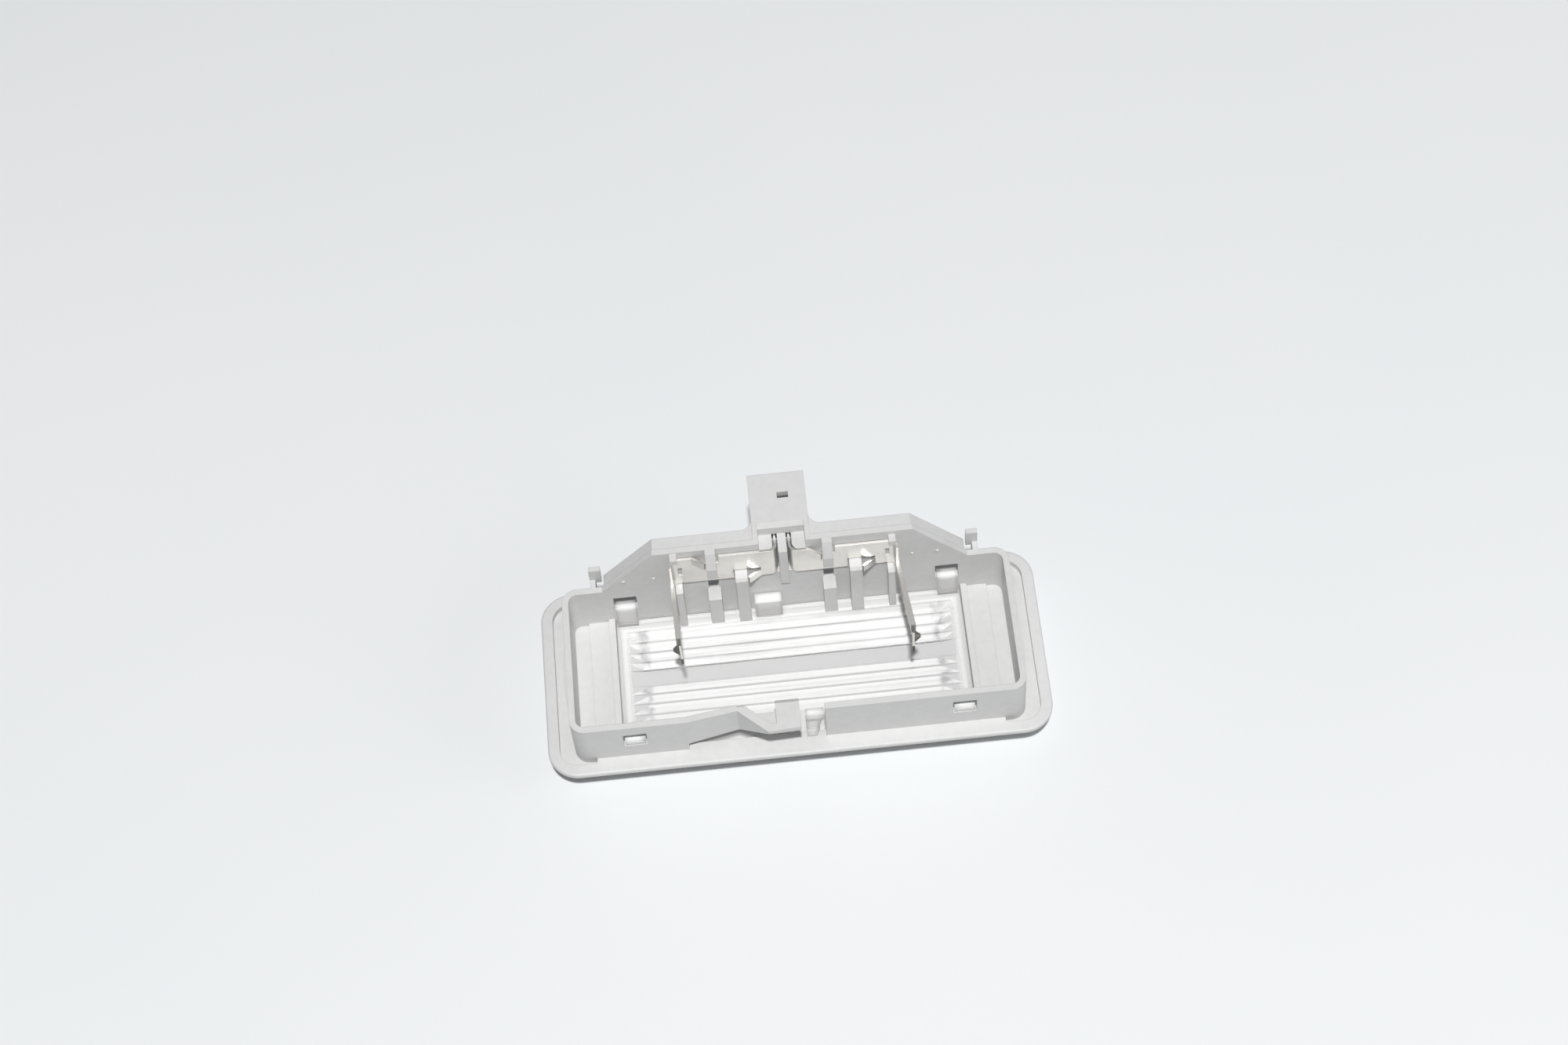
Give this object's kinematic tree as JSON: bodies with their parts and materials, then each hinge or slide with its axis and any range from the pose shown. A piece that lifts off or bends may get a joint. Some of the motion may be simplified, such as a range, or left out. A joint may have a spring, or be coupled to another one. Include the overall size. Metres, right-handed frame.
{
  "type": "car interior light",
  "caption": "Snap-in car interior light seen from its open back: oblong bezel, box with spring latch, fluted clear lens, sprung bulb contacts and plug socket.",
  "frame": {"origin": "middle of the bezel's outline, on the lit front of the lens", "axes": "+X along the bezel, +Y towards the plug socket, +Z from the lit face to the open back"},
  "size_m": [0.086, 0.0437, 0.0275],
  "materials": {
    "grey_nylon": "moulded satin nylon, light warm grey",
    "clear_lens": "polished clear polycarbonate",
    "spring_metal": "bright rolled nickel-plated spring strip"
  },
  "bodies": {
    "root": {"housing": "grey_nylon", "lens": "clear_lens", "contact_left": "spring_metal", "contact_right": "spring_metal"}
  },
  "joints": []
}
